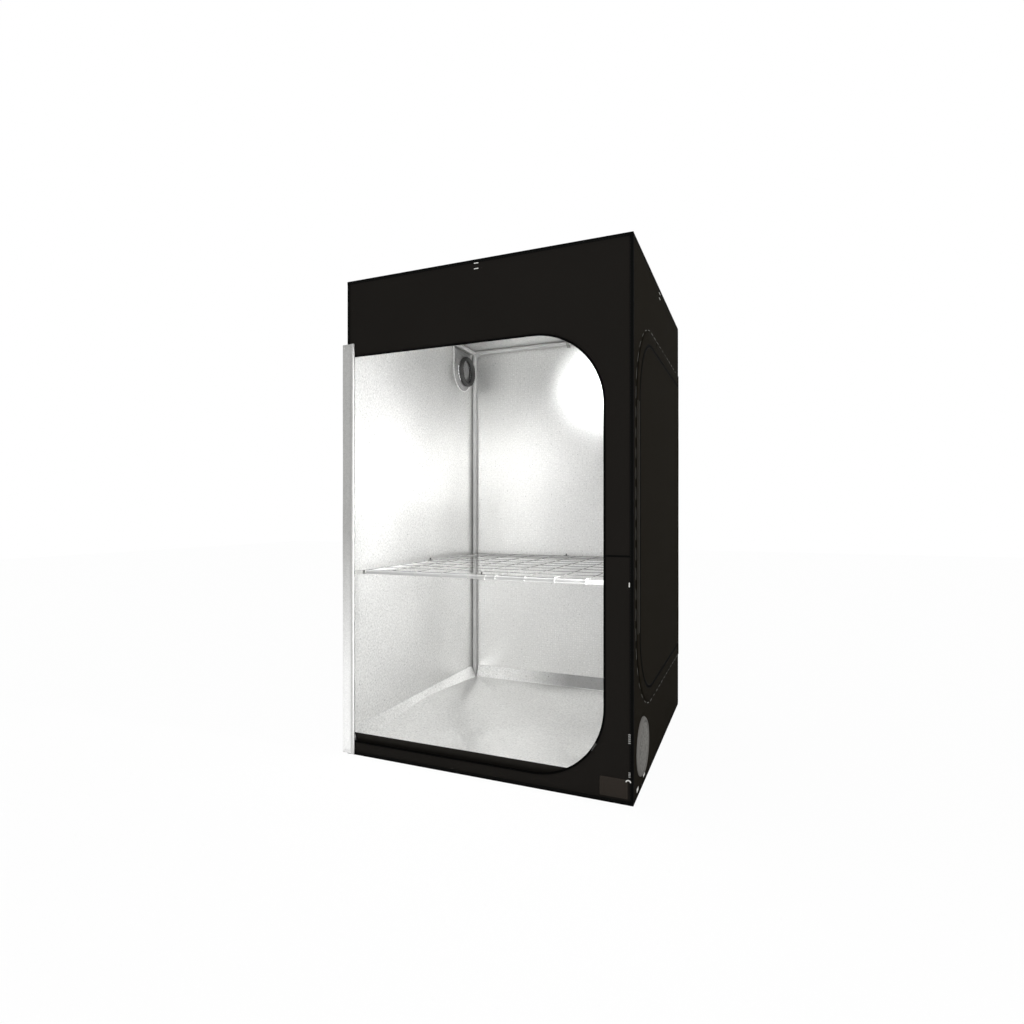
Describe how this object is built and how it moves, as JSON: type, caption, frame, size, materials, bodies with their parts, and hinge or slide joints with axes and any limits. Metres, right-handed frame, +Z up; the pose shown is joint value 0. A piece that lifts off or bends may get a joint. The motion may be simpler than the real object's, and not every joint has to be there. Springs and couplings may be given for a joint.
{
  "type": "indoor grow tent",
  "caption": "Square fabric grow tent on a tube frame, with a fold-back front door, a side door, a trellis net on a sliding frame, a duct sleeve and a floor tray.",
  "frame": {"origin": "centre of the footprint, on the floor", "axes": "+X to the right along the front, +Y from the front to the back, +Z up"},
  "size_m": [1.2329, 1.2103, 1.98],
  "materials": {
    "black_canvas": "matt woven outside, silver inside",
    "silver_lining": "semi-gloss embossed film",
    "grey_steel": "satin light grey",
    "white_steel": "satin white",
    "zip_tape": "matt",
    "elastic": "matt gathered",
    "vent_fabric": "fine mesh",
    "net_string": "matt",
    "clip_plastic": "matt",
    "slider_metal": "satin",
    "patch_fabric": "woven"
  },
  "bodies": {
    "tent": {"ground_sheet": "black_canvas", "roof_panel": "black_canvas", "front_wall": "black_canvas", "rear_wall": "black_canvas", "left_wall": "black_canvas", "right_wall": "black_canvas", "floor_tray": "silver_lining", "post_front_left": "grey_steel", "post_front_right": "grey_steel", "post_rear_left": "grey_steel", "post_rear_right": "grey_steel", "top_corner_front_left": "grey_steel", "top_corner_front_right": "grey_steel", "top_corner_rear_left": "grey_steel", "top_corner_rear_right": "grey_steel", "bottom_corner_front_left": "grey_steel", "bottom_corner_front_right": "grey_steel", "bottom_corner_rear_left": "grey_steel", "bottom_corner_rear_right": "grey_steel", "top_bar_front": "grey_steel", "top_bar_rear": "grey_steel", "top_bar_left": "grey_steel", "top_bar_right": "grey_steel", "bottom_bar_front": "grey_steel", "bottom_bar_rear": "grey_steel", "bottom_bar_left": "grey_steel", "bottom_bar_right": "grey_steel", "top_bar_strap_front": "clip_plastic", "top_bar_strap_rear": "clip_plastic", "top_bar_strap_left": "clip_plastic", "top_bar_strap_right": "clip_plastic", "front_hinge_piping": "silver_lining", "front_zip_track": "zip_tape", "side_hinge_piping": "black_canvas", "side_zip_track": "zip_tape", "duct_sleeve": "silver_lining", "duct_cuff": "elastic", "vent_ring": "vent_fabric", "vent_mesh": "vent_fabric", "blank_patch": "patch_fabric"},
    "front_door_edge": {"front_door_strip": "silver_lining"},
    "front_door": {"front_door_panel": "silver_lining"},
    "side_door": {"side_door": "black_canvas"},
    "front_slider": {"front_zip_slider": "slider_metal"},
    "side_slider": {"side_zip_slider": "slider_metal"},
    "net_frame": {"net_bar_front": "white_steel", "net_bar_rear": "white_steel", "net_bar_left": "white_steel", "net_bar_right": "white_steel", "net_clip_front_left": "clip_plastic", "net_clip_front_right": "clip_plastic", "net_clip_rear_left": "clip_plastic", "net_clip_rear_right": "clip_plastic", "net_collar_front": "clip_plastic", "net_collar_rear": "clip_plastic", "net_collar_left": "clip_plastic", "net_collar_right": "clip_plastic", "trellis_net": "net_string"}
  },
  "joints": [
    {"name": "front_door_hinge", "type": "hinge", "parent": "tent", "child": "front_door_edge", "pos_m": [-0.568, -0.6053, 0.86], "axis": [0, 0, 1], "range_deg": [0, 180]},
    {"name": "front_door_fold", "type": "hinge", "parent": "front_door_edge", "child": "front_door", "pos_m": [-0.622, -0.6053, 0.86], "axis": [0, 0, 1], "range_deg": [0, 90]},
    {"name": "side_door_hinge", "type": "hinge", "parent": "tent", "child": "side_door", "pos_m": [0.6053, 0.568, 0.997], "axis": [0, 0, 1], "range_deg": [0, 180]},
    {"name": "front_zip_travel", "type": "hinge", "parent": "tent", "child": "front_slider", "pos_m": [0.245, -0.6031, 0.31], "axis": [0, 1, 0], "range_deg": [-25, 55]},
    {"name": "side_zip_travel", "type": "slide", "parent": "tent", "child": "side_slider", "axis": [0, 0, 1], "range_m": [-0.38, 0.38]},
    {"name": "net_height", "type": "slide", "parent": "tent", "child": "net_frame", "axis": [0, 0, 1], "range_m": [-0.4, 0.85]}
  ]
}
